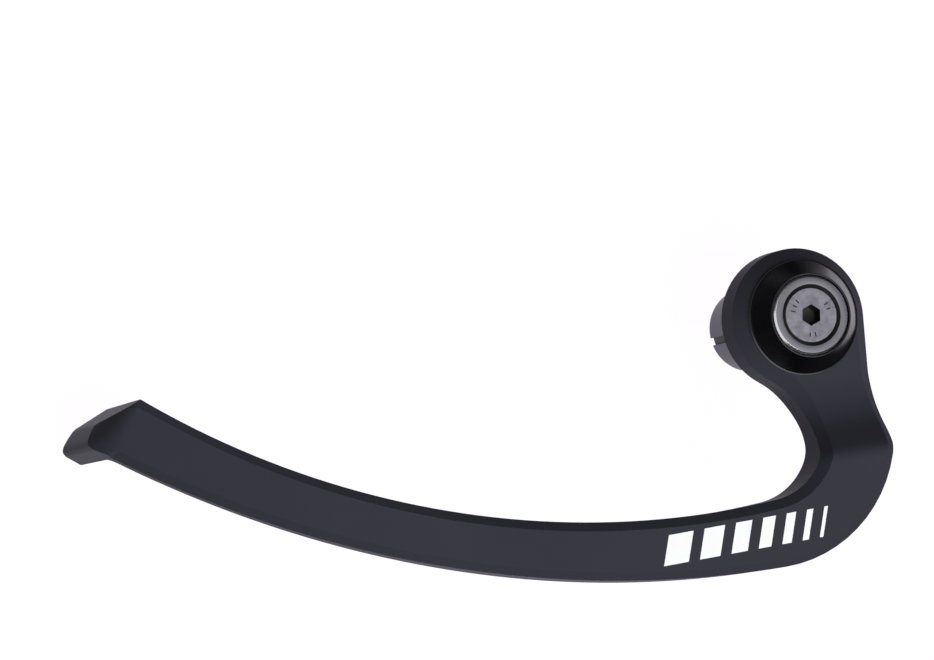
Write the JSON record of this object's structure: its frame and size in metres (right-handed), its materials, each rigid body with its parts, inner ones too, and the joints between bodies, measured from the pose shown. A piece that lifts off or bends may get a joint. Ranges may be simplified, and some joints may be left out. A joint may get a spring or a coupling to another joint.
{
  "type": "brake lever guard",
  "caption": "Long bowed aluminium guard arm with bevelled edges and a turned-back end lip, held in a handlebar end by a split expander sleeve.",
  "frame": {"origin": "on the bolt axis at the back face of the clamping head", "axes": "+Z along the bolt, out of the handlebar's end; +Y up across the head; -X along the arm towards its tip"},
  "size_m": [0.1675, 0.0661, 0.0561],
  "materials": {
    "satin_black_aluminium": "satin black anodised",
    "gloss_black_aluminium": "gloss black anodised",
    "satin_grey_aluminium": "satin turned",
    "bolt_steel": "satin",
    "sleeve_aluminium": "satin",
    "nut_steel": "satin zinc plated"
  },
  "bodies": {
    "root": {"guard_body": "satin_black_aluminium", "cone_collar": "gloss_black_aluminium", "face_ring": "satin_grey_aluminium", "clamp_bolt": "bolt_steel", "expander_sleeve": "sleeve_aluminium", "wedge_nut": "nut_steel"}
  },
  "joints": []
}
